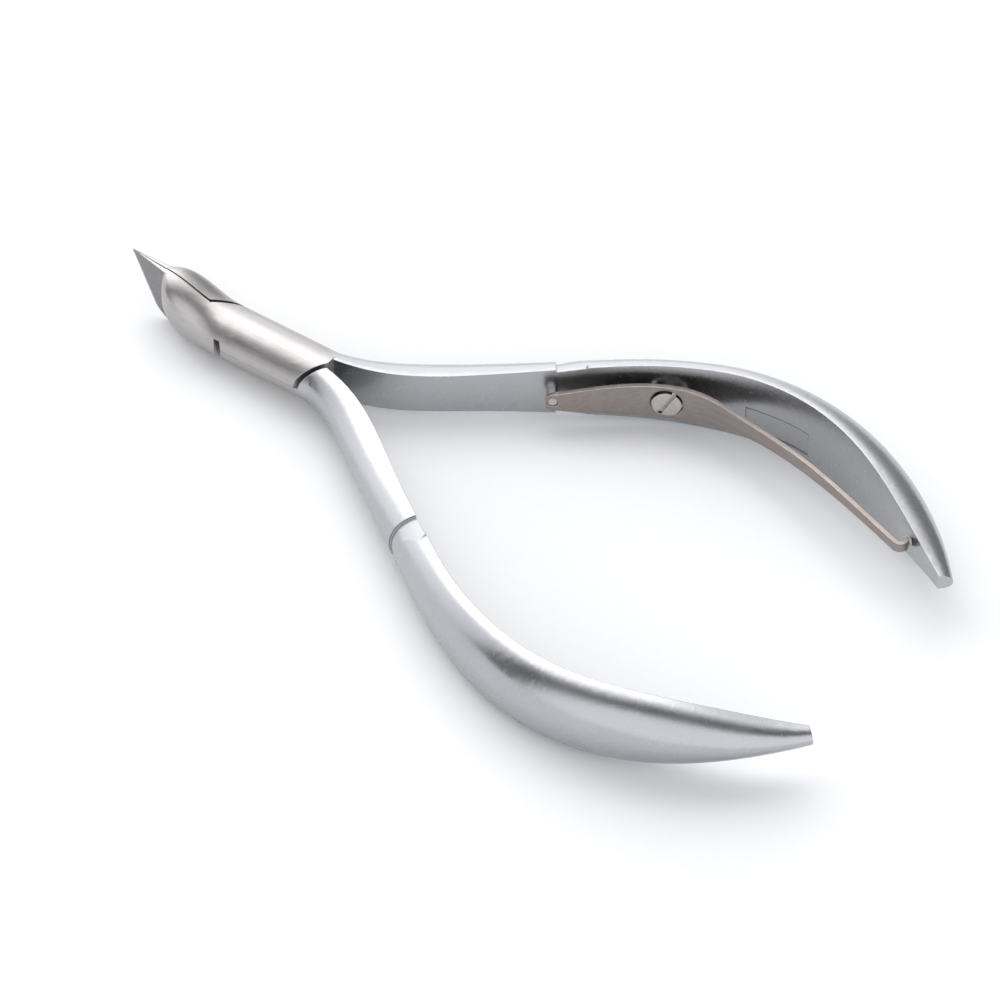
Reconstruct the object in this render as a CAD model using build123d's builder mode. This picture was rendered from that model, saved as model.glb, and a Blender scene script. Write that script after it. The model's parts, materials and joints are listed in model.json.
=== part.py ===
"""A cuticle nipper: two forged halves on a lap joint, a pivot screw, and a leaf spring on the upper half."""

from build123d import *
from math import cos, pi, radians, sin, tan
import os

os.makedirs("parts", exist_ok=True)

# Every length is in millimetres. X along the nipper is measured from the pivot axis, towards the handle
# ends, and heights are measured from the middle plane of the handles. BENCH carries both to the part's
# own frame, whose origin is the middle of the bounding box, on the surface that the nipper lies on.
PIVOT_X = -35.01
MID_Z = 5.387
BENCH = Plane(origin=(PIVOT_X, 0, MID_Z))
SIDE = Plane(origin=BENCH.origin, x_dir=(1, 0, 0), z_dir=(0, -1, 0))

# Joint and nose: ovals that end in a blunt nose. Towards the nose the top rises and its shoulders fill out.
JOINT_HALF_WIDTH = 3.8
JOINT_TOP = 4.0
JOINT_BOTTOM = -2.6
JOINT_REAR = 9.3
NOSE_START = -4.0
NOSE_END = -16.2
NOSE_SECTIONS = 16
NOSE_BLUNTNESS = 5.5
RIDGE_START = -6.5
RIDGE_RISE = 2.35
BOTTOM_DROP = 0.3
CHIN_START = -11.5
CHIN_RISE = 5.8
WIDEST_Z = (0.7, 3.0)
SHOULDER_FULLNESS = 0.76

# Share of a quarter's width and height at which the handles of its curve end: this one gives an ellipse
ROUND = 0.5523

# Blades: thin plates in front of the nose, ground at this angle to the middle plane, behind a straight edge
TIP = (-21.5, 6.95)
EDGE_FALL = 68.5
EDGE_LENGTH = 6.8
HEEL_END = (-14.8, -2.95)
BLADE_ROOT = ((-12.5, -2.95), (-12.5, 4.0))
BLADE_SHOULDER = (-15.8, 6.25)
BEVEL_ANGLE = 8
BLADE_GAP_TIP = 0.02
BLADE_GAP_HEEL = 0.26

# Lap joint: the seam's height, and the slits that let the halves turn
SEAM_Z = 0.9
LAP_CLEARANCE = 0.04
HEEL_X = -9.4
FRONT_SLIT = 0.42
JAW_SLANT = 0.9
LAP_SLANT = 1.05
REAR_INNER = (9.1, 0.4)
REAR_OUTER = (6.4, 3.6)
REAR_SLIT = 0.62
ROOT_RELIEF = (1.6, 1.2)

# Handles: x from the pivot axis, y of the flat inner face, half width, depth, height of the middle
HANDLE_SECTIONS = [
    (5.0, 0.20, 3.25, 3.50, 0.65),
    (10.0, 0.94, 3.30, 3.15, 0.50),
    (16.0, 2.95, 3.15, 3.95, 0.25),
    (24.0, 8.24, 3.13, 4.10, 0.0),
    (33.0, 14.90, 3.75, 3.65, 0.0),
    (40.0, 19.81, 4.42, 3.55, 0.0),
    (48.0, 24.17, 5.02, 3.65, 0.0),
    (56.0, 26.61, 5.38, 3.95, 0.0),
    (64.0, 26.72, 5.28, 4.40, 0.0),
    (72.0, 24.54, 4.78, 4.80, 0.0),
    (80.0, 20.60, 3.40, 4.50, 0.0),
    (86.0, 17.12, 1.95, 3.30, 0.0),
    (92.0, 13.40, 0.80, 1.10, 0.0),
]
UNDERSIDE_FULLNESS = 0.7
GRIP_STARTS = (24.0, 48.0)
HANDLE_END = (90.0, 14.62)
HANDLE_END_ANGLE = 40
NOTCH_X = 33.4
NOTCH_DEPTH = 0.34
NOTCH_RUN = 2.2

# Pivot screw, entered from below: head, shoulder and thread, on the pivot axis
FLAT_Z = -2.2
FLAT_HALF_LENGTH = 4.5
PIVOT_HEAD_RADIUS = 1.9
PIVOT_HEAD_HEIGHT = 1.1
PIVOT_SHOULDER_RADIUS = 1.5
PIVOT_THREAD_RADIUS = 1.0
PIVOT_THREAD_LENGTH = 1.9
PIVOT_SLOT_WIDTH = 0.6
PIVOT_SLOT_DEPTH = 0.55
FIT_CLEARANCE = 0.03

# Leaf spring: its line in plan, its half width along that line, and the window round the screw head
LEAF_THICKNESS = 0.6
LEAF_LINE = [
    (33.2, 12.95),
    (40.0, 18.1),
    (46.0, 21.75),
    (50.5, 23.2),
    (56.0, 23.4),
    (65.0, 22.25),
    (73.0, 20.1),
    (82.3, 17.0),
]
LEAF_CURL_RADIUS = 0.85
LEAF_CURL_ANGLE = 150
LEAF_WIDTHS = [
    (34.6, 1.35),
    (40.0, 2.3),
    (45.8, 2.65),
    (50.0, 2.4),
    (55.0, 1.5),
    (65.0, 0.95),
    (75.0, 0.75),
    (86.0, 0.7),
]
LEAF_END_X = 33.0
WINDOW_RADIUS = 2.15

# Spring rivet and spring screw: x of each on the inner face, then its steps along the face's normal
RIVET_X = 33.0
RIVET_RADIUS = 0.6
RIVET_HOLE_CLEARANCE = 0.08
RIVET_COLLAR_RADIUS = 0.75
RIVET_COLLAR_HEIGHT = 1.15
RIVET_HEIGHT = 1.9
RIVET_DEPTH = 1.8
SCREW_X = 45.2
SCREW_HEAD_RADIUS = 1.9
SCREW_HEAD_HEIGHT = 1.3
SCREW_COLLAR_RADIUS = 1.45
SCREW_COLLAR_HEIGHT = 0.65
SCREW_THREAD_RADIUS = 1.0
SCREW_THREAD_LENGTH = 2.3
SCREW_SLOT_WIDTH = 0.55
SCREW_SLOT_DEPTH = 0.5
SCREW_SLOT_TURN = -29

# Seat for the curled end of the spring, and the shallow blank recess behind it, with a sloping top wall
SEAT_X = 83.3
SEAT_RADIUS = 1.3
SEAT_DEPTH = 0.3
RECESS_X = (54.5, 63.6)
RECESS_Z = (-3.9, 0.2)
RECESS_DEPTH = 0.25
RECESS_SLOPE = 0.5

# How far cutting outlines reach: past everything, past the joint's sides, past the leaf's edges
FAR = 60
PAST_JOINT = 5
PAST_LEAF = 4


def place(x, y, z):
    """A point given from the pivot axis and the handles' middle plane, in the part's frame."""
    return BENCH.from_local_coords(Vector(x, y, z))


def quarter(start, corner, end, fullness):
    """A quarter of an oval, from start to end, on the side of corner."""
    from_start = Vector(*start) + (Vector(*corner) - Vector(*start)) * fullness
    from_end = Vector(*end) + (Vector(*corner) - Vector(*end)) * fullness
    return Bezier(start, from_start, from_end, end)


def nose_section(x):
    """Half width, top, bottom, height of the widest line and fullness of the shoulders of the nose at x."""
    nose = (NOSE_START - x) / (NOSE_START - NOSE_END)
    rise = sin(pi / 2 * max(0.0, RIDGE_START - x) / (RIDGE_START - NOSE_END))
    chin = max(0.0, (CHIN_START - x) / (CHIN_START - NOSE_END))
    half_width = JOINT_HALF_WIDTH * (1 - nose**NOSE_BLUNTNESS) ** 0.5
    top = JOINT_TOP + RIDGE_RISE * rise**2
    bottom = JOINT_BOTTOM - BOTTOM_DROP * nose + CHIN_RISE * (1 - (1 - chin**2) ** 0.5)
    widest = WIDEST_Z[0] + (WIDEST_Z[1] - WIDEST_Z[0]) * rise**2
    fullness = ROUND + (SHOULDER_FULLNESS - ROUND) * rise**2
    return half_width, top, bottom, widest, fullness


def lap_front(y):
    """Front end of a lap, at a distance y from the middle."""
    return HEEL_X + FRONT_SLIT + LAP_SLANT * y


def jaw_back(y):
    """Back of a jaw's full-height part, across the front slit from the lap."""
    return HEEL_X + JAW_SLANT * y


REAR_SLANT = (REAR_INNER[0] - REAR_OUTER[0]) / (REAR_OUTER[1] - REAR_INNER[1])


def lap_rear(y):
    """Rear end of a lap, at a distance y from the middle."""
    return REAR_INNER[0] - REAR_SLANT * (y - REAR_INNER[1])


def shoulder(y):
    """Front of a handle's full-height part, across the rear slit from the lap."""
    return lap_rear(y) + REAR_SLIT * (1 + REAR_SLANT**2) ** 0.5


# The handles' inner face in plan
with BuildLine(BENCH) as inner_face:
    Spline(*[(x, y) for x, y, _, _, _ in HANDLE_SECTIONS])
face_line = inner_face.edge()


def face_plane(x):
    """The far inner face at x: x axis along the handle, y axis up, z axis out of the face, to the hand."""
    point = face_line.intersect(Axis(place(x, 0, 0), (0, 1, 0))).vertices()[0].center()
    along = face_line.tangent_at(face_line.param_at_point(point))
    return Plane(origin=point, x_dir=along, z_dir=along.cross(Vector(0, 0, 1)))


def cross_plane(x):
    """Square to the far handle at x: x axis up, y axis out of the inner face."""
    face = face_plane(x)
    return Plane(origin=face.origin, x_dir=(0, 0, 1), z_dir=face.x_dir)


# Far handle: a loft of D sections, flat inside and domed outside. The grip is fuller below.
with BuildPart() as handle:
    for x, _, half_width, depth, middle in HANDLE_SECTIONS:
        with BuildSketch(cross_plane(x)):
            with BuildLine():
                low = (middle - half_width, 0)
                high = (middle + half_width, 0)
                crown = (middle, -depth)
                grip = min(1.0, max(0.0, (x - GRIP_STARTS[0]) / (GRIP_STARTS[1] - GRIP_STARTS[0])))
                Line(low, high)
                quarter(high, (high[0], -depth), crown, ROUND)
                quarter(crown, (low[0], -depth), low, ROUND + (UNDERSIDE_FULLNESS - ROUND) * grip)
            make_face()
    loft()
    # The notch across the dome: a step on the joint's side and a ramp on the grip's side
    _, _, notch_half_width, notch_dome, _ = HANDLE_SECTIONS[4]
    with BuildLine(cross_plane(NOTCH_X)) as notch_path:
        notch_arc = EllipticalCenterArc((0, 0), notch_half_width, notch_dome, start_angle=175, arc_size=190)
    with BuildSketch(Plane(origin=notch_arc @ 0, x_dir=face_plane(NOTCH_X).x_dir, z_dir=notch_arc % 0)) as notch:
        with BuildLine():
            Polyline((0, -NOTCH_DEPTH), (0, NOTCH_DEPTH), (2 * NOTCH_RUN, NOTCH_DEPTH), close=True)
        make_face()
    sweep(path=notch_arc, mode=Mode.SUBTRACT)
    # The end, cut on a slant
    slant = radians(HANDLE_END_ANGLE)
    split(bisect_by=Plane(origin=place(*HANDLE_END, 0), z_dir=(sin(slant), -cos(slant), 0)), keep=Keep.BOTTOM)

# The forging before it is cut: blade, nose, joint and both handles
with BuildPart() as blank:
    # The blade plate, between the planes of both bevels behind the cutting edge
    fall = radians(EDGE_FALL)
    edge_end = (TIP[0] + EDGE_LENGTH * cos(fall), TIP[1] - EDGE_LENGTH * sin(fall))
    with BuildSketch(SIDE):
        with BuildLine():
            Line(TIP, edge_end)
            TangentArc(edge_end, HEEL_END, tangent=(cos(fall), -sin(fall)))
            Polyline(HEEL_END, *BLADE_ROOT, BLADE_SHOULDER, TIP)
        make_face()
    extrude(amount=JOINT_HALF_WIDTH, both=True)
    edge_plane = Plane(
        origin=place(TIP[0], 0, TIP[1]), x_dir=(sin(fall), 0, cos(fall)), z_dir=(cos(fall), 0, -sin(fall))
    )
    with BuildSketch(edge_plane):
        with BuildLine():
            reach = FAR * tan(radians(BEVEL_ANGLE))
            Polyline((0, 0), (FAR, reach), (FAR, -reach), close=True)
        make_face()
    extrude(amount=FAR, both=True, mode=Mode.INTERSECT)
    # The nose, with its sections closer together where it rounds off
    with BuildPart(mode=Mode.PRIVATE) as nose:
        for i in range(NOSE_SECTIONS):
            x = NOSE_START + (NOSE_END - NOSE_START) * sin(pi / 2 * i / NOSE_SECTIONS)
            half_width, top, bottom, widest, fullness = nose_section(x)
            with BuildSketch(Plane(origin=place(x, 0, 0), x_dir=(0, 1, 0), z_dir=(1, 0, 0))):
                with BuildLine():
                    quarter((0, top), (half_width, top), (half_width, widest), fullness)
                    quarter((half_width, widest), (half_width, bottom), (0, bottom), ROUND)
                    quarter((0, bottom), (-half_width, bottom), (-half_width, widest), ROUND)
                    quarter((-half_width, widest), (-half_width, top), (0, top), fullness)
                make_face()
        loft()
    add(nose.part)
    # The joint carries the nose's widest section back to the handles
    extrude(nose.faces().sort_by(Axis.X)[-1], amount=JOINT_REAR - NOSE_START, dir=(1, 0, 0))
    add(handle.part)
    mirror(handle.part, about=Plane.XZ)

# The space that the upper half takes up: its lap, its jaw on the near side and its handle on the far side.
# Turned half round the line where the seam meets the middle plane, it is the lower half's space.
with BuildPart() as upper_space:
    lap_base = BENCH.offset(SEAM_Z + LAP_CLEARANCE / 2)
    with BuildSketch(lap_base):
        with BuildLine():
            Polyline(
                (-FAR, -BLADE_GAP_TIP / 2),
                (TIP[0], -BLADE_GAP_TIP / 2),
                (HEEL_X, -BLADE_GAP_HEEL / 2),
                (lap_front(0), -BLADE_GAP_HEEL / 2),
                (lap_front(0), 0),
                (lap_front(PAST_JOINT), PAST_JOINT),
                (lap_front(PAST_JOINT), FAR),
                (2 * FAR, FAR),
                (2 * FAR, 0),
                (lap_rear(0), 0),
                (lap_rear(PAST_JOINT), -PAST_JOINT),
                (-FAR, -PAST_JOINT),
                close=True,
            )
        make_face()
    extrude(amount=FAR)
    with BuildSketch(lap_base):
        with BuildLine():
            Polyline(
                (-FAR, -BLADE_GAP_TIP / 2),
                (TIP[0], -BLADE_GAP_TIP / 2),
                (HEEL_X, -BLADE_GAP_HEEL / 2),
                (jaw_back(PAST_JOINT), -PAST_JOINT),
                (-FAR, -PAST_JOINT),
                close=True,
            )
        make_face()
        with BuildLine():
            Polyline(
                (shoulder(0), 0),
                (shoulder(PAST_JOINT), PAST_JOINT),
                (shoulder(PAST_JOINT), FAR),
                (2 * FAR, FAR),
                (2 * FAR, 0),
                close=True,
            )
        make_face()
    extrude(amount=-FAR)
    # Relief at the root of the jaw, above the front slit
    relief_start, relief_height = ROOT_RELIEF
    with BuildSketch(lap_base):
        with BuildLine():
            Polyline(
                (jaw_back(relief_start), -relief_start),
                (jaw_back(PAST_JOINT), -PAST_JOINT),
                (lap_front(PAST_JOINT), -PAST_JOINT),
                (lap_front(relief_start), -relief_start),
                close=True,
            )
        make_face()
    extrude(amount=relief_height, mode=Mode.SUBTRACT)

seam_axis = Axis(place(0, 0, SEAM_Z), (1, 0, 0))
screw_plane = face_plane(SCREW_X)
rivet_plane = face_plane(RIVET_X)

# Upper half: near jaw, upper lap and far handle
with BuildPart() as upper_half:
    add(blank.part)
    add(upper_space.part, mode=Mode.INTERSECT)
    # Blind hole for the pivot screw's thread
    with BuildSketch(BENCH.offset(SEAM_Z)):
        Circle(PIVOT_THREAD_RADIUS + FIT_CLEARANCE)
    extrude(amount=PIVOT_THREAD_LENGTH + FIT_CLEARANCE, mode=Mode.SUBTRACT)
    # Blind holes for the spring screw and the spring rivet
    with BuildSketch(screw_plane):
        Circle(SCREW_THREAD_RADIUS + FIT_CLEARANCE)
    extrude(amount=-SCREW_THREAD_LENGTH - FIT_CLEARANCE, mode=Mode.SUBTRACT)
    with BuildSketch(rivet_plane):
        Circle(RIVET_RADIUS)
    extrude(amount=-RIVET_DEPTH, mode=Mode.SUBTRACT)
    # Seat for the spring's curled end
    with Locations(face_plane(SEAT_X).offset(SEAT_RADIUS - SEAT_DEPTH).location):
        Sphere(SEAT_RADIUS, mode=Mode.SUBTRACT)
    # Blank recess, of even depth below the curved face
    recess_ends = [face_line.param_at_point(face_plane(x).origin) for x in RECESS_X]
    bottom, top = RECESS_Z
    with BuildSketch(cross_plane(RECESS_X[0])):
        with BuildLine():
            Polyline(
                (bottom, RECESS_DEPTH),
                (bottom, -RECESS_DEPTH),
                (top - RECESS_SLOPE, -RECESS_DEPTH),
                (top + RECESS_SLOPE, RECESS_DEPTH),
                close=True,
            )
        make_face()
    sweep(path=face_line.trim(*recess_ends), mode=Mode.SUBTRACT)

# Lower half: far jaw, lower lap and near handle
with BuildPart() as lower_half:
    add(blank.part)
    add(upper_space.part.rotate(seam_axis, 180), mode=Mode.INTERSECT)
    # Milled flat on the underside, with the counterbore and bore of the pivot screw
    with BuildSketch(BENCH.offset(FLAT_Z)):
        Rectangle(2 * FLAT_HALF_LENGTH, 4 * JOINT_HALF_WIDTH)
    extrude(amount=-FAR, mode=Mode.SUBTRACT)
    with BuildSketch(BENCH.offset(FLAT_Z)):
        Circle(PIVOT_HEAD_RADIUS + FIT_CLEARANCE)
    extrude(amount=PIVOT_HEAD_HEIGHT, mode=Mode.SUBTRACT)
    with BuildSketch(BENCH.offset(FLAT_Z)):
        Circle(PIVOT_SHOULDER_RADIUS + FIT_CLEARANCE)
    extrude(amount=SEAM_Z - FLAT_Z, mode=Mode.SUBTRACT)

# Pivot screw, with its slot on the underside
with BuildPart() as pivot_screw:
    head_top = FLAT_Z + PIVOT_HEAD_HEIGHT - FIT_CLEARANCE
    with BuildSketch(BENCH.offset(FLAT_Z)):
        Circle(PIVOT_HEAD_RADIUS)
    extrude(amount=head_top - FLAT_Z)
    with BuildSketch(BENCH.offset(head_top)):
        Circle(PIVOT_SHOULDER_RADIUS)
    extrude(amount=SEAM_Z - head_top)
    with BuildSketch(BENCH.offset(SEAM_Z)):
        Circle(PIVOT_THREAD_RADIUS)
    extrude(amount=PIVOT_THREAD_LENGTH)
    with BuildSketch(BENCH.offset(FLAT_Z)):
        Rectangle(4 * PIVOT_HEAD_RADIUS, PIVOT_SLOT_WIDTH, rotation=SCREW_SLOT_TURN)
    extrude(amount=PIVOT_SLOT_DEPTH, mode=Mode.SUBTRACT)

# Leaf spring: a strip of even thickness in plan, cut to its width in the side view
with BuildPart() as leaf_spring:
    with BuildSketch(BENCH.offset(-PAST_LEAF)):
        with BuildLine() as leaf_line:
            run = Spline(*LEAF_LINE)
            JernArc(run @ 1, run % 1, LEAF_CURL_RADIUS, LEAF_CURL_ANGLE)
        trace(line_width=LEAF_THICKNESS)
    extrude(amount=2 * PAST_LEAF)
    with BuildSketch(SIDE):
        with BuildLine():
            upper = Spline(*LEAF_WIDTHS)
            lower = Spline(*[(x, -z) for x, z in LEAF_WIDTHS])
            ThreePointArc(upper @ 0, (LEAF_END_X, 0), lower @ 0)
            Line(upper @ 1, lower @ 1)
        make_face()
    extrude(amount=FAR, both=True, mode=Mode.INTERSECT)
    with BuildSketch(screw_plane):
        Circle(WINDOW_RADIUS)
    extrude(amount=2 * WINDOW_RADIUS, mode=Mode.SUBTRACT)
    with BuildSketch(rivet_plane):
        Circle(RIVET_RADIUS + RIVET_HOLE_CLEARANCE)
    extrude(amount=2 * RIVET_HEIGHT, mode=Mode.SUBTRACT)

# Spring rivet: a pin in the far handle, with a collar that holds the leaf off the face
with BuildPart() as spring_rivet:
    with BuildSketch(rivet_plane.offset(-RIVET_DEPTH)):
        Circle(RIVET_RADIUS)
    extrude(amount=RIVET_DEPTH + RIVET_HEIGHT)
    with BuildSketch(rivet_plane):
        Circle(RIVET_COLLAR_RADIUS)
    extrude(amount=RIVET_COLLAR_HEIGHT)

# Spring screw: a slotted cheese head on a collar, standing in the leaf's window
with BuildPart() as spring_screw:
    with BuildSketch(screw_plane.offset(-SCREW_THREAD_LENGTH)):
        Circle(SCREW_THREAD_RADIUS)
    extrude(amount=SCREW_THREAD_LENGTH)
    with BuildSketch(screw_plane):
        Circle(SCREW_COLLAR_RADIUS)
    extrude(amount=SCREW_COLLAR_HEIGHT)
    with BuildSketch(screw_plane.offset(SCREW_COLLAR_HEIGHT)):
        Circle(SCREW_HEAD_RADIUS)
    extrude(amount=SCREW_HEAD_HEIGHT)
    with BuildSketch(screw_plane.offset(SCREW_COLLAR_HEIGHT + SCREW_HEAD_HEIGHT)):
        Rectangle(SCREW_SLOT_WIDTH, 4 * SCREW_HEAD_RADIUS, rotation=SCREW_SLOT_TURN)
    extrude(amount=-SCREW_SLOT_DEPTH, mode=Mode.SUBTRACT)

upper_half.part.label = "upper_half"
lower_half.part.label = "lower_half"
pivot_screw.part.label = "pivot_screw"
leaf_spring.part.label = "leaf_spring"
spring_rivet.part.label = "spring_rivet"
spring_screw.part.label = "spring_screw"

export_step(upper_half.part, "parts/upper_half.step")
export_step(lower_half.part, "parts/lower_half.step")
export_step(pivot_screw.part, "parts/pivot_screw.step")
export_step(leaf_spring.part, "parts/leaf_spring.step")
export_step(spring_rivet.part, "parts/spring_rivet.step")
export_step(spring_screw.part, "parts/spring_screw.step")
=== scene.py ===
"""Steel finishes for a cuticle nipper's halves, leaf spring and fasteners, on a white sweep."""

import json
from math import cos, radians, sin, tan

import bpy
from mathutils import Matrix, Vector


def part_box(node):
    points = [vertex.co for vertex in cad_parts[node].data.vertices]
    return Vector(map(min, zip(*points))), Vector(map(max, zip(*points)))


bl_info = {
    "name": "Cuticle nipper",
    "version": (1, 0, 0),
    "blender": (4, 5, 0),
    "location": "3D View > Sidebar > Nipper",
    "description": "Steel finishes and a product stage for a cuticle nipper",
    "category": "Object",
}

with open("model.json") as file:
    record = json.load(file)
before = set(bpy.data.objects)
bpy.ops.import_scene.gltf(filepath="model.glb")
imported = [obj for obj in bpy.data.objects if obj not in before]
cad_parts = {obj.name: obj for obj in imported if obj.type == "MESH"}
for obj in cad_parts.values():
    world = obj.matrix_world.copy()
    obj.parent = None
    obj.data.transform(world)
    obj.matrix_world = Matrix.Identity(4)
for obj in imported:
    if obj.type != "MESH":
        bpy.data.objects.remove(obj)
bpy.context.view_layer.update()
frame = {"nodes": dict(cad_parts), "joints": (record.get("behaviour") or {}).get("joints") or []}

MM = 0.001
STARTUP_OBJECTS = ("Cube", "Light", "Camera")
HALVES = ("upper_half", "lower_half")
PIVOT = Vector(next(j["pos_m"] for j in frame["joints"] if j["name"] == "handle_pivot"))
SPRING_SCREW_JOINT = next(j for j in frame["joints"] if j["name"] == "spring_screw_turn")
RIVET_AXIS = (0.59, -0.807, 0)

# The cutting edges: their upper end in the middle plane, how steeply they fall,
# and the angle between the bevels and that plane
EDGE_TIP = (-56.51 * MM, 12.337 * MM)
EDGE_FALL = radians(68.5)
BEVEL_ANGLE = radians(8)

# Where one finish gives way to the next: joint to handle, from the end of the joint's finish,
# bevel (ground finish and painted shade) to nose, off the bevel's plane, and blade to nose, off the
# middle plane
HANDLE_BLEND = (-0.25 * MM, 0.9 * MM)
BEVEL_BLEND = (0.10 * MM, 0.03 * MM)
BLADE_BLEND = (0.80 * MM, 0.70 * MM)

# Depths of the fine relief
FORGED_RELIEF = 0.0013 * MM
SPRING_RELIEF = 0.0026 * MM
TURNED_RELIEF = 0.0006 * MM
LATHE_RINGS = 70 / MM

# Colours of rubbed edges and of scratches
RUBBED_FORGING = (0.72, 0.72, 0.72)
RUBBED_SPRING = (0.80, 0.76, 0.73)
RUBBED_SCREW = (0.76, 0.74, 0.73)
SCRATCH_TINT = (0.80, 0.80, 0.80)

# Stretches of a noise texture's values that are spread over a finish's range
WIDE_NOISE = (0.2, 0.8)
MIDDLE_NOISE = (0.25, 0.75)
NARROW_NOISE = (0.3, 0.7)

# The sweep: where it turns, from the pivot, how far below the nipper, and its paper
SWEEP_BEHIND_PIVOT = 57 * MM
SWEEP_DROP = 0.02 * MM
PAPER_TINTS = ((0.895, 0.90, 0.91), (0.915, 0.92, 0.93))
PAPER_ROUGHNESS = 0.75
PAPER_SPECULAR = 0.2

# The large soft light and the point it looks at
KEY_TOWARDS = Vector((-0.42, 0.30, 0.86))
KEY_DISTANCE = 0.95
KEY_TINT = (1.0, 0.975, 0.95)
LIT_POINT = Vector((0.01, 0, 0))

# The room seen from the nipper: a bright side, a dark strip across the ceiling and a paler front.
# Each zone runs between two cosines of the angle to its direction, with a brightness at each.
BRIGHT_SIDE = (-0.755, 0.626, 0.196)
DARK_END = (0.25, 0.94, 0.20)
FRONT_ZONE = (-0.06, -0.30, 0.10, 1.30)
WALL_ZONE = (0.12, 0.38, 0.0, 1.10)
WINDOW_ZONE = (0.45, 0.95, 0.0, 0.55)
DARK_END_ZONE = (cos(radians(46)), cos(radians(20)), 1.0, 0.25)
ROOM_TINT = (0.97, 0.98, 1.0)

# The camera
SENSOR_WIDTH = 36.0
CLIP_RANGE = (0.05, 20.0)


# Sizes and colours that a user would change


class NipperSteel(bpy.types.PropertyGroup):
    """Finishes of the steel parts."""

    handle_tint: bpy.props.FloatVectorProperty(
        name="Handle tint",
        description="Cool white of the satin handles",
        subtype="COLOR",
        size=3,
        min=0.0,
        max=1.0,
        default=(0.45, 0.457, 0.473),
    )
    joint_tint: bpy.props.FloatVectorProperty(
        name="Joint tint",
        description="Warm grey of the brushed joint and jaws",
        subtype="COLOR",
        size=3,
        min=0.0,
        max=1.0,
        default=(0.45, 0.43, 0.425),
    )
    # The bevel tint is partly the ground finish and partly painted shade: its darkness stands in
    # for the shadowed floor that the bevels reflect
    bevel_tint_and_painted_shade: bpy.props.FloatVectorProperty(
        name="Bevel tint",
        description="Darker grey of the ground bevels behind the cutting edges",
        subtype="COLOR",
        size=3,
        min=0.0,
        max=1.0,
        default=(0.24, 0.235, 0.237),
    )
    spring_tint: bpy.props.FloatVectorProperty(
        name="Spring tint",
        description="Brown grey of the tempered leaf spring",
        subtype="COLOR",
        size=3,
        min=0.0,
        max=1.0,
        default=(0.31, 0.272, 0.255),
    )
    screw_tint: bpy.props.FloatVectorProperty(
        name="Screw tint",
        description="Bright steel of the screws and the rivet",
        subtype="COLOR",
        size=3,
        min=0.0,
        max=1.0,
        default=(0.50, 0.475, 0.46),
    )
    satin_roughness: bpy.props.FloatProperty(
        name="Satin roughness",
        description="Roughness of the handles between handling marks",
        min=0.05,
        max=1.0,
        default=0.25,
    )
    brushed_roughness: bpy.props.FloatProperty(
        name="Brushed roughness",
        description="Roughness of the joint and jaws between brush lines",
        min=0.05,
        max=1.0,
        default=0.32,
    )
    edge_width: bpy.props.FloatProperty(
        name="Edge width",
        description="How far the broken edges of the forgings reach round a corner",
        subtype="DISTANCE",
        unit="LENGTH",
        min=0.0,
        max=0.5 * MM,
        default=0.13 * MM,
    )
    joint_reach: bpy.props.FloatProperty(
        name="Joint reach",
        description="How far behind the pivot the brushed finish ends, on the middle line",
        subtype="DISTANCE",
        unit="LENGTH",
        min=0.0,
        max=30 * MM,
        default=9.65 * MM,
    )
    joint_slant: bpy.props.FloatProperty(
        name="Joint slant",
        description="How far the brushed finish's end moves forward per unit off the middle line",
        min=0.0,
        max=2.0,
        default=0.84,
    )


class NipperStage(bpy.types.PropertyGroup):
    """The sweep, the lights and the camera."""

    azimuth: bpy.props.FloatProperty(
        name="Azimuth",
        description="Camera's turn round the nipper",
        subtype="ANGLE",
        unit="ROTATION",
        default=radians(34.70),
    )
    elevation: bpy.props.FloatProperty(
        name="Elevation",
        description="Camera's height over the nipper",
        subtype="ANGLE",
        unit="ROTATION",
        default=radians(46.37),
    )
    distance: bpy.props.FloatProperty(
        name="Distance",
        description="Camera's distance from its target",
        subtype="DISTANCE",
        unit="LENGTH",
        default=0.7,
    )
    lens: bpy.props.FloatProperty(
        name="Lens",
        description="Focal length on a 36 mm sensor",
        subtype="DISTANCE_CAMERA",
        default=204.35,
    )
    target: bpy.props.FloatVectorProperty(
        name="Target",
        description="Where the camera looks, from the pivot",
        subtype="TRANSLATION",
        unit="LENGTH",
        size=3,
        default=(38.33 * MM, -4.305 * MM, -0.9 * MM),
    )
    floor_size: bpy.props.FloatProperty(
        name="Sweep size",
        description="Side of the white sweep",
        subtype="DISTANCE",
        unit="LENGTH",
        default=6.0,
    )
    floor_tilt: bpy.props.FloatProperty(
        name="Sweep tilt",
        description="Tilt that brings the sweep up to the grips and to the heel of the jaws",
        subtype="ANGLE",
        unit="ROTATION",
        default=radians(2.0),
    )
    key_power: bpy.props.FloatProperty(
        name="Key power",
        description="Power of the large soft light",
        unit="POWER",
        default=2.7,
    )
    key_size: bpy.props.FloatVectorProperty(
        name="Key size",
        description="Width and height of the large soft light",
        subtype="XYZ_LENGTH",
        unit="LENGTH",
        size=2,
        default=(0.95, 0.70),
    )
    room_strength: bpy.props.FloatProperty(
        name="Room strength",
        description="Brightness of the room's walls",
        min=0.0,
        default=1.05,
    )


# Node helpers


def add_node(tree, kind, label="", **settings):
    """A node of a kind, with attributes set by name and sockets set by name in inputs."""
    node = tree.nodes.new(kind)
    node.label = label
    inputs = settings.pop("inputs", {})
    for key, value in settings.items():
        setattr(node, key, value)
    for key, value in inputs.items():
        socket = node.inputs[key]
        if isinstance(value, bpy.types.NodeSocket):
            tree.links.new(value, socket)
        else:
            socket.default_value = value
    return node


def maths(tree, operation, first, second=0.0, third=0.0, clamp=False):
    """The output of one math node."""
    inputs = {0: first, 1: second, 2: third}
    node = add_node(tree, "ShaderNodeMath", operation=operation, use_clamp=clamp, inputs=inputs)
    return node.outputs[0]


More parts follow.
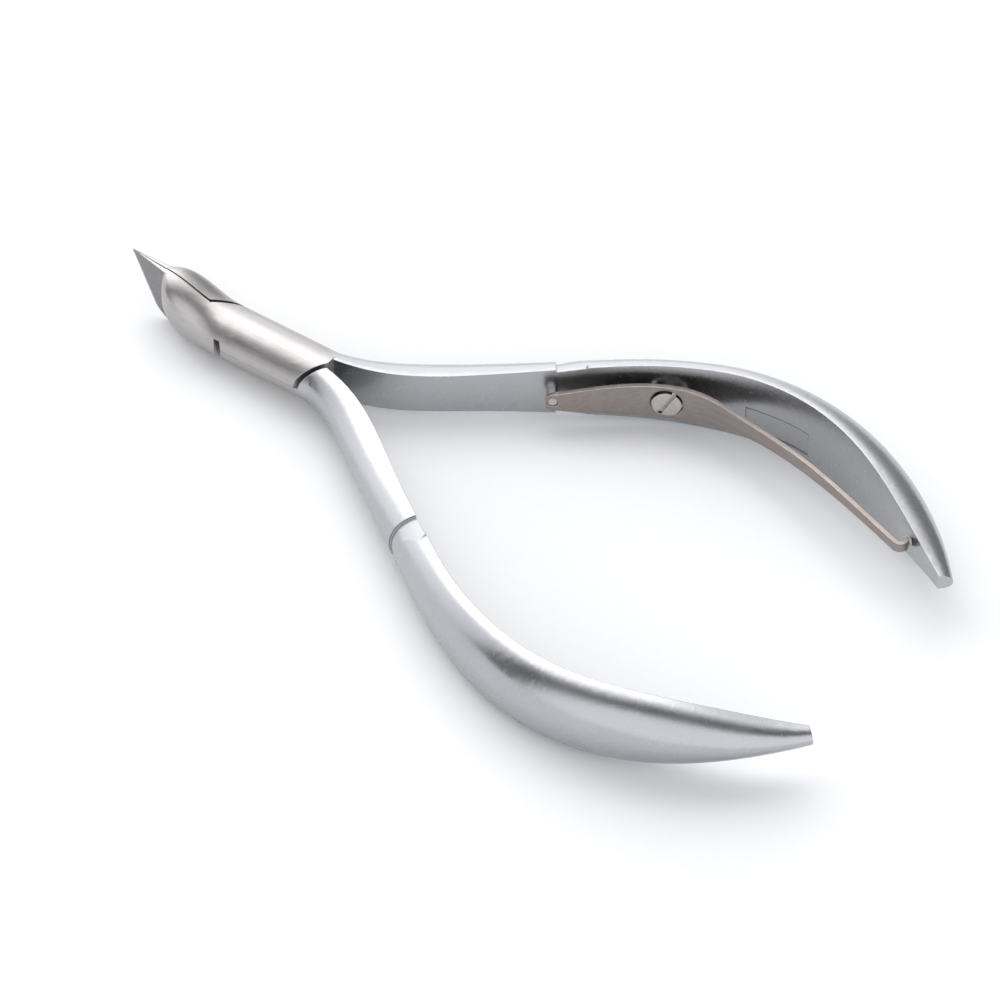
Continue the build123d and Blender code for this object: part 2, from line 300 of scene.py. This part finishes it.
def vector_maths(tree, operation, inputs, label=""):
    """The outputs of one vector math node."""
    node = add_node(tree, "ShaderNodeVectorMath", label, operation=operation, inputs=inputs)
    return node.outputs


def noise(tree, vector, scale, detail, distortion=0.0):
    """The value of a noise texture."""
    inputs = {"Vector": vector, "Scale": scale, "Detail": detail, "Distortion": distortion}
    return add_node(tree, "ShaderNodeTexNoise", inputs=inputs).outputs["Fac"]


def ramp_value(tree, value, low, high, to_low=0.0, to_high=1.0):
    """A value eased from one range to another."""
    inputs = {
        "Value": value,
        "From Min": low,
        "From Max": high,
        "To Min": to_low,
        "To Max": to_high,
    }
    node = add_node(tree, "ShaderNodeMapRange", interpolation_type="SMOOTHSTEP", inputs=inputs)
    return node.outputs["Result"]


def mix_colour(tree, factor, first, second):
    """Two colours mixed by a factor."""
    node = tree.nodes.new("ShaderNodeMix")
    node.data_type = "RGBA"
    by_kind = {s.identifier: s for s in node.inputs}
    for name, value in (("Factor_Float", factor), ("A_Color", first), ("B_Color", second)):
        if isinstance(value, bpy.types.NodeSocket):
            tree.links.new(value, by_kind[name])
        else:
            by_kind[name].default_value = value if name == "Factor_Float" else (*value[:3], 1.0)
    return next(s for s in node.outputs if s.identifier == "Result_Color")


def shade_colour(tree, colour, tone):
    """A colour made lighter or darker by a tone."""
    return vector_maths(tree, "SCALE", {0: colour, "Scale": tone})["Vector"]


def rub_edges(tree, worn, colour, rubbed_colour, share):
    """A colour with its worn edges rubbed bright, by a share."""
    return mix_colour(tree, maths(tree, "MULTIPLY", worn["Edge"], share), colour, rubbed_colour)


def new_group(name, inputs, outputs):
    """A shader node group with named sockets; inputs carry their default values."""
    group = bpy.data.node_groups.new(name, "ShaderNodeTree")
    for label, kind, value in inputs:
        socket = group.interface.new_socket(label, in_out="INPUT", socket_type=kind)
        if value is not None:
            socket.default_value = value
    for label, kind in outputs:
        group.interface.new_socket(label, in_out="OUTPUT", socket_type=kind)
    given = group.nodes.new("NodeGroupInput").outputs
    made = group.nodes.new("NodeGroupOutput").inputs
    return group, given, made


def place_group(tree, group, **values):
    """A group placed in a material, with its own values."""
    node = tree.nodes.new("ShaderNodeGroup")
    node.node_tree = group
    for key, value in values.items():
        socket = node.inputs[key.replace("_", " ")]
        if isinstance(value, bpy.types.NodeSocket):
            tree.links.new(value, socket)
        else:
            socket.default_value = value
    return node.outputs


# Shared effects

# The slow tone of brushing, as a share of its lines along and across them
BROAD_TONE = (0.3, 0.16, 0.16)

# Where a corner starts to show and is fully worn, as the cosine of its turn
CORNER_TURN = (0.995, 0.90)

# Hairlines: the axis they turn about, the turns of the two sets, and how finely they are drawn
HAIRLINE_AXIS = (0.1, 0.25, 1.0)
HAIRLINE_TURNS = (1.0, -0.7)
HAIRLINE_SCALE = (0.16 / MM, 5.5 / MM, 1.4 / MM)

def brush_lines_group():
    """Fine lines from a brushing belt, with slow changes of tone across them."""
    tree, given, made = new_group(
        "Brush lines",
        [
            ("Vector", "NodeSocketVector", None),
            ("Lines per mm", "NodeSocketFloat", 12.0),
            ("Length mm", "NodeSocketFloat", 2.5),
        ],
        [("Lines", "NodeSocketFloat"), ("Tone", "NodeSocketFloat")],
    )
    across = maths(tree, "MULTIPLY", given["Lines per mm"], 1 / MM)
    along = maths(tree, "DIVIDE", 1 / MM, given["Length mm"])
    scale = add_node(tree, "ShaderNodeCombineXYZ", inputs={"X": along, "Y": across, "Z": across})
    inputs = {0: given["Vector"], 1: scale.outputs[0]}
    stretched = vector_maths(tree, "MULTIPLY", inputs)["Vector"]
    lines = noise(tree, stretched, 1.0, 2.0)
    broad = vector_maths(tree, "MULTIPLY", {0: stretched, 1: BROAD_TONE})["Vector"]
    tone = noise(tree, broad, 1.0, 3.0)
    tree.links.new(lines, made["Lines"])
    tree.links.new(tone, made["Tone"])
    return tree


def blasted_grain_group():
    """The even pitting of bead-blasted steel, and faint clouds in it."""
    tree, given, made = new_group(
        "Blasted grain",
        [("Vector", "NodeSocketVector", None), ("Grain mm", "NodeSocketFloat", 0.09)],
        [("Grain", "NodeSocketFloat"), ("Clouds", "NodeSocketFloat")],
    )
    scale = maths(tree, "DIVIDE", 1 / MM, given["Grain mm"])
    inputs = {"Vector": given["Vector"], "Scale": scale}
    pits = add_node(tree, "ShaderNodeTexVoronoi", feature="SMOOTH_F1", inputs=inputs)
    fine = noise(tree, given["Vector"], scale, 3.0)
    clouds = noise(tree, given["Vector"], 0.16 / MM, 4.0)
    fine_share = maths(tree, "MULTIPLY", fine, 0.4)
    grain = maths(tree, "MULTIPLY_ADD", pits.outputs["Distance"], 0.6, fine_share)
    tree.links.new(grain, made["Grain"])
    tree.links.new(clouds, made["Clouds"])
    return tree


def worn_edges_group():
    """Where corners are rubbed bright, and a normal that is rounded over them."""
    tree, given, made = new_group(
        "Worn edges",
        [("Vector", "NodeSocketVector", None), ("Width", "NodeSocketFloat", 0.1 * MM)],
        [("Edge", "NodeSocketFloat"), ("Rounded normal", "NodeSocketVector")],
    )
    rounded = add_node(tree, "ShaderNodeBevel", samples=6, inputs={"Radius": given["Width"]})
    flat = tree.nodes.new("ShaderNodeNewGeometry")
    normals = {0: rounded.outputs[0], 1: flat.outputs["Normal"]}
    alike = vector_maths(tree, "DOT_PRODUCT", normals)["Value"]
    corner = ramp_value(tree, alike, *CORNER_TURN)
    patches = noise(tree, given["Vector"], 1.2 / MM, 2.0)
    rubbed = maths(tree, "MULTIPLY", corner, ramp_value(tree, patches, 0.30, 0.62, 0.35, 1.0))
    tree.links.new(rubbed, made["Edge"])
    tree.links.new(rounded.outputs[0], made["Rounded normal"])
    return tree


def handling_marks_group():
    """Hairline scratches in two directions, and soft smudges."""
    tree, given, made = new_group(
        "Handling marks",
        [("Vector", "NodeSocketVector", None), ("Turn", "NodeSocketFloat", 0.6)],
        [("Scratches", "NodeSocketFloat"), ("Smudges", "NodeSocketFloat")],
    )
    hairlines = []
    for share in HAIRLINE_TURNS:
        turned = add_node(
            tree,
            "ShaderNodeVectorRotate",
            rotation_type="AXIS_ANGLE",
            inputs={
                "Vector": given["Vector"],
                "Axis": HAIRLINE_AXIS,
                "Angle": maths(tree, "MULTIPLY", given["Turn"], share),
            },
        )
        inputs = {0: turned.outputs[0], 1: HAIRLINE_SCALE}
        drawn = vector_maths(tree, "MULTIPLY", inputs)["Vector"]
        hairlines.append(ramp_value(tree, noise(tree, drawn, 1.0, 1.0), 0.68, 0.76))
    smudge = noise(tree, given["Vector"], 0.085 / MM, 3.0, distortion=0.8)
    tree.links.new(maths(tree, "MAXIMUM", *hairlines), made["Scratches"])
    tree.links.new(ramp_value(tree, smudge, 0.35, 0.72), made["Smudges"])
    return tree


EFFECTS = {
    "Brush lines": brush_lines_group,
    "Blasted grain": blasted_grain_group,
    "Worn edges": worn_edges_group,
    "Handling marks": handling_marks_group,
}


def effect(name):
    """A shared effect, built the first time it is asked for."""
    return bpy.data.node_groups.get(name) or EFFECTS[name]()


# Steel materials


def new_steel(name):
    """A metallic material: its tree, its shader and the piece's own coordinates."""
    material = bpy.data.materials.new(name)
    material.use_nodes = True
    tree = material.node_tree
    shader = next(n for n in tree.nodes if n.type == "BSDF_PRINCIPLED")
    shader.inputs["Metallic"].default_value = 1.0
    place = tree.nodes.new("ShaderNodeTexCoord").outputs["Object"]
    return material, tree, shader, place


def raise_relief(tree, shader, height, distance, normal):
    """Fine relief on top of a rounded normal."""
    inputs = {"Strength": 1.0, "Distance": distance, "Height": height, "Normal": normal}
    bump = add_node(tree, "ShaderNodeBump", inputs=inputs)
    tree.links.new(bump.outputs[0], shader.inputs["Normal"])


def forged_steel(steel):
    """Brushed on the joint and jaws, ground on the bevels, bead blasted on the handles. The bevels'
    darker tint is partly their ground finish and partly painted shade, standing in for the shadowed
    floor that they reflect.
    """
    material, tree, shader, place = new_steel("Forged steel")
    brush = place_group(tree, effect("Brush lines"), Vector=place, Lines_per_mm=14.0, Length_mm=2.2)
    blast = place_group(tree, effect("Blasted grain"), Vector=place, Grain_mm=0.10)
    worn = place_group(tree, effect("Worn edges"), Vector=place, Width=steel.edge_width)
    marks = place_group(tree, effect("Handling marks"), Vector=place, Turn=0.7)
    at = tree.nodes.new("ShaderNodeSeparateXYZ")
    tree.links.new(place, at.inputs[0])
    off_middle = maths(tree, "ABSOLUTE", at.outputs["Y"])
    # The brushed finish ends along the slanted rear of the lap
    aside = maths(tree, "MULTIPLY_ADD", off_middle, steel.joint_slant, at.outputs["X"])
    joint_end = PIVOT.x + steel.joint_reach
    handle = ramp_value(tree, aside, joint_end + HANDLE_BLEND[0], joint_end + HANDLE_BLEND[1])
    brush_side = maths(tree, "SUBTRACT", 1.0, handle)
    # On a bevel, the distance from the middle plane grows with the distance behind the edge
    back = maths(tree, "SUBTRACT", at.outputs["X"], EDGE_TIP[0])
    up = maths(tree, "SUBTRACT", at.outputs["Z"], EDGE_TIP[1])
    raised = maths(tree, "MULTIPLY", up, cos(EDGE_FALL) * tan(BEVEL_ANGLE))
    behind = maths(tree, "MULTIPLY_ADD", back, sin(EDGE_FALL) * tan(BEVEL_ANGLE), raised)
    off_bevel = maths(tree, "ABSOLUTE", maths(tree, "SUBTRACT", behind, off_middle))
    blade = ramp_value(tree, behind, *BLADE_BLEND)
    # Painted shade: this mask darkens the bevels towards the bevel tint, partly for their ground
    # finish and partly in place of the shadowed floor that they reflect
    bevel = maths(tree, "MULTIPLY", ramp_value(tree, off_bevel, *BEVEL_BLEND), blade)
    front_tint_with_bevel_shade = mix_colour(tree, bevel, steel.joint_tint, steel.bevel_tint_and_painted_shade)
    tint = mix_colour(tree, handle, front_tint_with_bevel_shade, steel.handle_tint)
    streaks = ramp_value(tree, brush["Tone"], *MIDDLE_NOISE, -0.06, 0.04)
    clouds = ramp_value(tree, blast["Clouds"], *MIDDLE_NOISE, -0.025, 0.02)
    tone = maths(tree, "MULTIPLY", streaks, brush_side)
    cloud = maths(tree, "MULTIPLY", clouds, handle)
    shade = maths(tree, "ADD", 1.0, maths(tree, "ADD", tone, cloud))
    shaded = shade_colour(tree, tint, shade)
    bright = rub_edges(tree, worn, shaded, RUBBED_FORGING, share=0.45)
    scratches = maths(tree, "MULTIPLY", marks["Scratches"], 0.06)
    scratched = mix_colour(tree, scratches, bright, SCRATCH_TINT)
    tree.links.new(scratched, shader.inputs["Base Color"])
    smooth, coarse = steel.satin_roughness - 0.02, steel.satin_roughness + 0.03
    satin = ramp_value(tree, blast["Clouds"], *WIDE_NOISE, smooth, coarse)
    smooth, coarse = steel.brushed_roughness - 0.05, steel.brushed_roughness + 0.08
    brushed = ramp_value(tree, brush["Lines"], *WIDE_NOISE, smooth, coarse)
    satin_share = maths(tree, "MULTIPLY", satin, handle)
    brushed_share = maths(tree, "MULTIPLY", brushed, brush_side)
    rough = maths(tree, "ADD", satin_share, brushed_share)
    smudged = maths(tree, "MULTIPLY_ADD", marks["Smudges"], 0.035, rough)
    polished = maths(tree, "MULTIPLY_ADD", worn["Edge"], -0.08, smudged)
    roughness = maths(tree, "MULTIPLY_ADD", marks["Scratches"], 0.06, polished, clamp=True)
    tree.links.new(roughness, shader.inputs["Roughness"])
    lines = maths(tree, "MULTIPLY", brush["Lines"], brush_side)
    grain = maths(tree, "MULTIPLY", maths(tree, "MULTIPLY", blast["Grain"], handle), 0.55)
    relief = maths(tree, "ADD", lines, grain)
    raise_relief(tree, shader, relief, FORGED_RELIEF, worn["Rounded normal"])
    return material


def spring_steel(steel):
    """Tempered strip: brown grey, brushed along its length, rubbed bright on its edges."""
    material, tree, shader, place = new_steel("Spring steel")
    brush = place_group(tree, effect("Brush lines"), Vector=place, Lines_per_mm=14.0, Length_mm=4.0)
    worn = place_group(tree, effect("Worn edges"), Vector=place, Width=steel.edge_width * 0.8)
    marks = place_group(tree, effect("Handling marks"), Vector=place, Turn=1.1)
    tone = ramp_value(tree, brush["Tone"], *MIDDLE_NOISE, 0.90, 1.07)
    shaded = shade_colour(tree, (*steel.spring_tint,), tone)
    bright = rub_edges(tree, worn, shaded, RUBBED_SPRING, share=0.9)
    tree.links.new(bright, shader.inputs["Base Color"])
    rough = ramp_value(tree, brush["Lines"], *WIDE_NOISE, 0.30, 0.42)
    smudged = maths(tree, "MULTIPLY_ADD", marks["Smudges"], 0.05, rough)
    roughness = maths(tree, "MULTIPLY_ADD", worn["Edge"], -0.10, smudged, clamp=True)
    tree.links.new(roughness, shader.inputs["Roughness"])
    raise_relief(tree, shader, brush["Lines"], SPRING_RELIEF, worn["Rounded normal"])
    return material


def turned_steel(name, steel, centre, axis):
    """Bright turned steel, with the rings that a lathe leaves round the axis."""
    material, tree, shader, place = new_steel(name)
    worn = place_group(tree, effect("Worn edges"), Vector=place, Width=steel.edge_width * 0.7)
    marks = place_group(tree, effect("Handling marks"), Vector=place, Turn=0.3)
    from_centre = vector_maths(tree, "SUBTRACT", {0: place, 1: centre})["Vector"]
    off_axis = vector_maths(tree, "CROSS_PRODUCT", {0: from_centre, 1: axis})["Vector"]
    radius = vector_maths(tree, "LENGTH", {0: off_axis})["Value"]
    rings = maths(tree, "SINE", maths(tree, "MULTIPLY", radius, LATHE_RINGS))
    uneven = noise(tree, place, 1.6 / MM, 3.0)
    patches = ramp_value(tree, uneven, *NARROW_NOISE, 0.93, 1.04)
    tone = maths(tree, "MULTIPLY_ADD", rings, 0.02, patches)
    shaded = shade_colour(tree, (*steel.screw_tint,), tone)
    bright = rub_edges(tree, worn, shaded, RUBBED_SCREW, share=0.7)
    tree.links.new(bright, shader.inputs["Base Color"])
    rough = ramp_value(tree, uneven, *NARROW_NOISE, 0.17, 0.27)
    roughness = maths(tree, "MULTIPLY_ADD", marks["Scratches"], 0.12, rough, clamp=True)
    tree.links.new(roughness, shader.inputs["Roughness"])
    raise_relief(tree, shader, rings, TURNED_RELIEF, worn["Rounded normal"])
    return material


def finish_node(name, material):
    """Puts a material in every slot of a CAD node."""
    slots = frame["nodes"][name].material_slots
    if not slots:
        raise RuntimeError(f"{name} has no material slot")
    for slot in slots:
        slot.material = material


# Operators


class NIPPER_OT_forged_halves(bpy.types.Operator):
    """Finish the two forged halves: brushed joint and jaws, satin handles"""

    bl_idname = "nipper.forged_halves"
    bl_label = "Finish the forged halves"

    def execute(self, context):
        material = forged_steel(context.scene.nipper_steel)
        for name in HALVES:
            finish_node(name, material)
        return {"FINISHED"}


class NIPPER_OT_leaf_spring(bpy.types.Operator):
    """Finish the leaf spring in tempered steel"""

    bl_idname = "nipper.leaf_spring"
    bl_label = "Finish the leaf spring"

    def execute(self, context):
        finish_node("leaf_spring", spring_steel(context.scene.nipper_steel))
        return {"FINISHED"}


class NIPPER_OT_fasteners(bpy.types.Operator):
    """Finish the pivot screw, the spring screw and the rivet in turned steel"""

    bl_idname = "nipper.fasteners"
    bl_label = "Finish the screws and the rivet"

    def execute(self, context):
        steel = context.scene.nipper_steel
        low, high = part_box("spring_rivet")
        turned = {
            "pivot_screw": (PIVOT, (0, 0, 1)),
            "spring_screw": (SPRING_SCREW_JOINT["pos_m"], SPRING_SCREW_JOINT["axis"]),
            "spring_rivet": ((low + high) / 2, RIVET_AXIS),
        }
        for name, (centre, axis) in turned.items():
            label = name.replace("_", " ").capitalize() + " steel"
            finish_node(name, turned_steel(label, steel, tuple(centre), tuple(axis)))
        return {"FINISHED"}


def direction(azimuth, elevation):
    """Unit vector from the nipper towards a camera or a light at these angles."""
    return Vector((sin(azimuth) * cos(elevation), -cos(azimuth) * cos(elevation), sin(elevation)))


def lay_sweep(stage):
    """The white floor, tilted up to the grips and the heel of the jaws."""
    mesh = bpy.data.meshes.new("White_sweep")
    half = stage.floor_size / 2
    corners = [(-half, -half, 0), (half, -half, 0), (half, half, 0), (-half, half, 0)]
    mesh.from_pydata(corners, [], [(0, 1, 2, 3)])
    sweep = bpy.data.objects.new("White_sweep", mesh)
    bpy.context.scene.collection.objects.link(sweep)
    sweep.location = (PIVOT.x + SWEEP_BEHIND_PIVOT, 0, -SWEEP_DROP)
    sweep.rotation_euler = (0, stage.floor_tilt, 0)
    material = bpy.data.materials.new("White sweep")
    material.use_nodes = True
    tree = material.node_tree
    shader = next(n for n in tree.nodes if n.type == "BSDF_PRINCIPLED")
    place = tree.nodes.new("ShaderNodeTexCoord").outputs["Object"]
    fibre = noise(tree, place, 0.8 / MM, 3.0)
    paper = mix_colour(tree, fibre, *PAPER_TINTS)
    tree.links.new(paper, shader.inputs["Base Color"])
    shader.inputs["Roughness"].default_value = PAPER_ROUGHNESS
    shader.inputs["Specular IOR Level"].default_value = PAPER_SPECULAR
    mesh.materials.append(material)


def add_soft_light(name, towards, distance, size, power, colour):
    """A rectangular soft light that looks at the nipper from a direction."""
    data = bpy.data.lights.new(name, "AREA")
    data.shape = "RECTANGLE"
    data.size, data.size_y = size
    data.energy = power
    data.color = colour
    light = bpy.data.objects.new(name, data)
    bpy.context.scene.collection.objects.link(light)
    light.location = LIT_POINT + towards.normalized() * distance
    light.rotation_mode = "QUATERNION"
    light.rotation_quaternion = (-towards).to_track_quat("-Z", "Y")


def light_room(stage):
    """A pale room with a bright side, a dark strip across the ceiling and a dark end."""
    world = bpy.data.worlds.new("Studio room")
    bpy.context.scene.world = world
    world.use_nodes = True
    tree = world.node_tree
    background = next(n for n in tree.nodes if n.type == "BACKGROUND")
    way = tree.nodes.new("ShaderNodeTexCoord").outputs["Generated"]

    def facing(label, towards):
        inputs = {0: way, 1: Vector(towards).normalized()}
        return vector_maths(tree, "DOT_PRODUCT", inputs, label)["Value"]

    side = facing("Bright side", BRIGHT_SIDE)
    front = ramp_value(tree, side, *FRONT_ZONE)
    wall = ramp_value(tree, side, *WALL_ZONE)
    window = ramp_value(tree, side, *WINDOW_ZONE)
    bright = maths(tree, "ADD", front, maths(tree, "ADD", wall, window))
    end = ramp_value(tree, facing("Dark end", DARK_END), *DARK_END_ZONE)
    lit = maths(tree, "MULTIPLY", bright, end)
    tree.links.new(shade_colour(tree, ROOM_TINT, lit), background.inputs["Color"])
    background.inputs["Strength"].default_value = stage.room_strength


def aim_camera(stage):
    """The camera, level, looking at its target from the stage's angles."""
    data = bpy.data.cameras.new("Camera")
    data.sensor_width = SENSOR_WIDTH
    data.lens = stage.lens
    data.clip_start, data.clip_end = CLIP_RANGE
    camera = bpy.data.objects.new("Camera", data)
    bpy.context.scene.collection.objects.link(camera)
    back = direction(stage.azimuth, stage.elevation)
    camera.location = PIVOT + Vector(stage.target) + back * stage.distance
    camera.rotation_mode = "QUATERNION"
    camera.rotation_quaternion = (-back).to_track_quat("-Z", "Y")
    bpy.context.scene.camera = camera


class NIPPER_OT_stage(bpy.types.Operator):
    """Lay the white sweep and set the lights and the camera"""

    bl_idname = "nipper.stage"
    bl_label = "Set the stage"

    def execute(self, context):
        stage = context.scene.nipper_stage
        context.scene.view_settings.view_transform = "Standard"
        lay_sweep(stage)
        light_room(stage)
        add_soft_light(
            "Key_softbox", KEY_TOWARDS, KEY_DISTANCE, stage.key_size, stage.key_power, KEY_TINT
        )
        aim_camera(stage)
        return {"FINISHED"}


class NIPPER_PT_sidebar(bpy.types.Panel):
    """The nipper's finishes and stage"""

    bl_idname = "NIPPER_PT_sidebar"
    bl_label = "Cuticle nipper"
    bl_space_type = "VIEW_3D"
    bl_region_type = "UI"
    bl_category = "Nipper"

    def draw(self, context):
        for settings in (context.scene.nipper_steel, context.scene.nipper_stage):
            box = self.layout.box()
            for name in settings.__annotations__:
                box.prop(settings, name)
        for operator in OPERATORS:
            self.layout.operator(operator.bl_idname)


GROUPS = {"nipper_steel": NipperSteel, "nipper_stage": NipperStage}
OPERATORS = (NIPPER_OT_forged_halves, NIPPER_OT_leaf_spring, NIPPER_OT_fasteners, NIPPER_OT_stage)
CLASSES = (*GROUPS.values(), *OPERATORS, NIPPER_PT_sidebar)


def register():
    for cls in CLASSES:
        bpy.utils.register_class(cls)
    for name, group in GROUPS.items():
        setattr(bpy.types.Scene, name, bpy.props.PointerProperty(type=group))


def unregister():
    for name in GROUPS:
        delattr(bpy.types.Scene, name)
    for cls in reversed(CLASSES):
        bpy.utils.unregister_class(cls)


def main():
    for name in STARTUP_OBJECTS:
        if name in bpy.data.objects:
            bpy.data.objects.remove(bpy.data.objects[name])
    register()
    bpy.ops.nipper.forged_halves()
    bpy.ops.nipper.leaf_spring()
    bpy.ops.nipper.fasteners()
    bpy.ops.nipper.stage()


if __name__ == "__main__":
    main()
